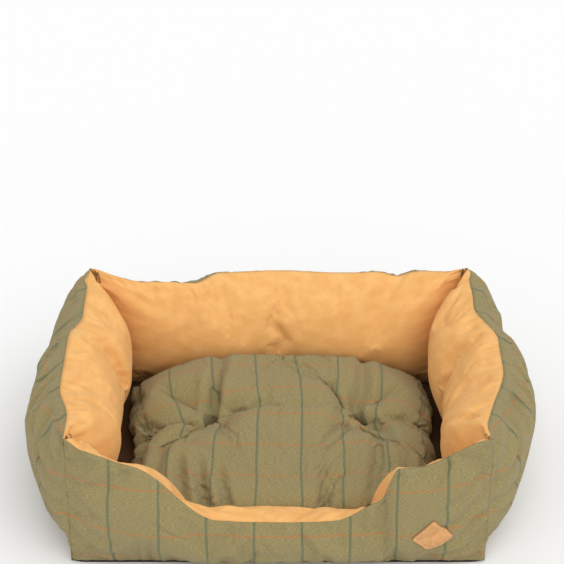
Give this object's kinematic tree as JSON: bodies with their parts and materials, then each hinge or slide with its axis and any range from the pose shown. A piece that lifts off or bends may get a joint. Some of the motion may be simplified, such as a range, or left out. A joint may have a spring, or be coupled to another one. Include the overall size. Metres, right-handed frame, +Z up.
{
  "type": "pet cushion bed",
  "caption": "Rectangular pet bed: stuffed checked tweed walls lined with suede, a low front entry, and a loose tufted cushion that lifts out.",
  "frame": {"origin": "on the underside, midway between the corners of the walls' top seam, at floor level", "axes": "+X to the right as seen from the front, -Y out of the front wall with the entry, +Z up"},
  "size_m": [0.6702, 0.4922, 0.1936],
  "materials": {
    "tweed": "woven tweed with a windowpane check",
    "suede": "brushed faux suede",
    "fibrefill": "loose polyester fibre",
    "foam": "soft open foam",
    "base_cloth": "plain woven non-slip cloth",
    "floor_cloth": "plain woven dark brown cloth",
    "leather": "smooth tanned leather",
    "thread": "twisted thread",
    "zip_tape": "woven tape",
    "zip_coil": "moulded coil",
    "zip_metal": "antique brass"
  },
  "bodies": {
    "bed": {"front_outer_panel": "tweed", "front_lining": "suede", "front_filling": "fibrefill", "back_outer_panel": "tweed", "back_lining": "suede", "back_filling": "fibrefill", "left_outer_panel": "tweed", "left_lining": "suede", "left_filling": "fibrefill", "right_outer_panel": "tweed", "right_lining": "suede", "right_filling": "fibrefill", "base_sheet": "base_cloth", "base_pad": "foam", "floor_lining": "floor_cloth", "leather_patch": "leather", "patch_stitches": "thread", "corner_tacks": "thread", "wall_zip_tape": "zip_tape", "wall_zip_coil": "zip_coil", "wall_zip_stops": "zip_metal"},
    "cushion": {"cushion_top_panel": "tweed", "cushion_bottom_panel": "suede", "cushion_filling": "fibrefill", "tuft_tie_left": "thread", "tuft_tie_right": "thread", "cushion_zip_tape": "zip_tape", "cushion_zip_coil": "zip_coil", "cushion_zip_stops": "zip_metal"},
    "wall_slider": {"wall_zip_slider": "zip_metal"},
    "wall_pull": {"wall_zip_pull": "zip_metal"},
    "cushion_slider": {"cushion_zip_slider": "zip_metal"},
    "cushion_pull": {"cushion_zip_pull": "zip_metal"}
  },
  "joints": [
    {"name": "cushion_lift", "type": "slide", "parent": "bed", "child": "cushion", "axis": [0, 0, 1], "range_m": [0, 0.25]},
    {"name": "wall_zip_run", "type": "slide", "parent": "bed", "child": "wall_slider", "axis": [-1, 0, 0], "range_m": [0, 0.267]},
    {"name": "wall_pull_swing", "type": "hinge", "parent": "wall_slider", "child": "wall_pull", "pos_m": [0.1335, 0.24718, 0.03765], "axis": [0, -0.4144, -0.9101], "range_deg": [0, 160]},
    {"name": "cushion_zip_run", "type": "slide", "parent": "cushion", "child": "cushion_slider", "axis": [-1, 0, 0], "range_m": [0, 0.213]},
    {"name": "cushion_pull_swing", "type": "hinge", "parent": "cushion_slider", "child": "cushion_pull", "pos_m": [0.1065, 0.14705, 0.047], "axis": [0, 0, -1], "range_deg": [0, 25]}
  ]
}
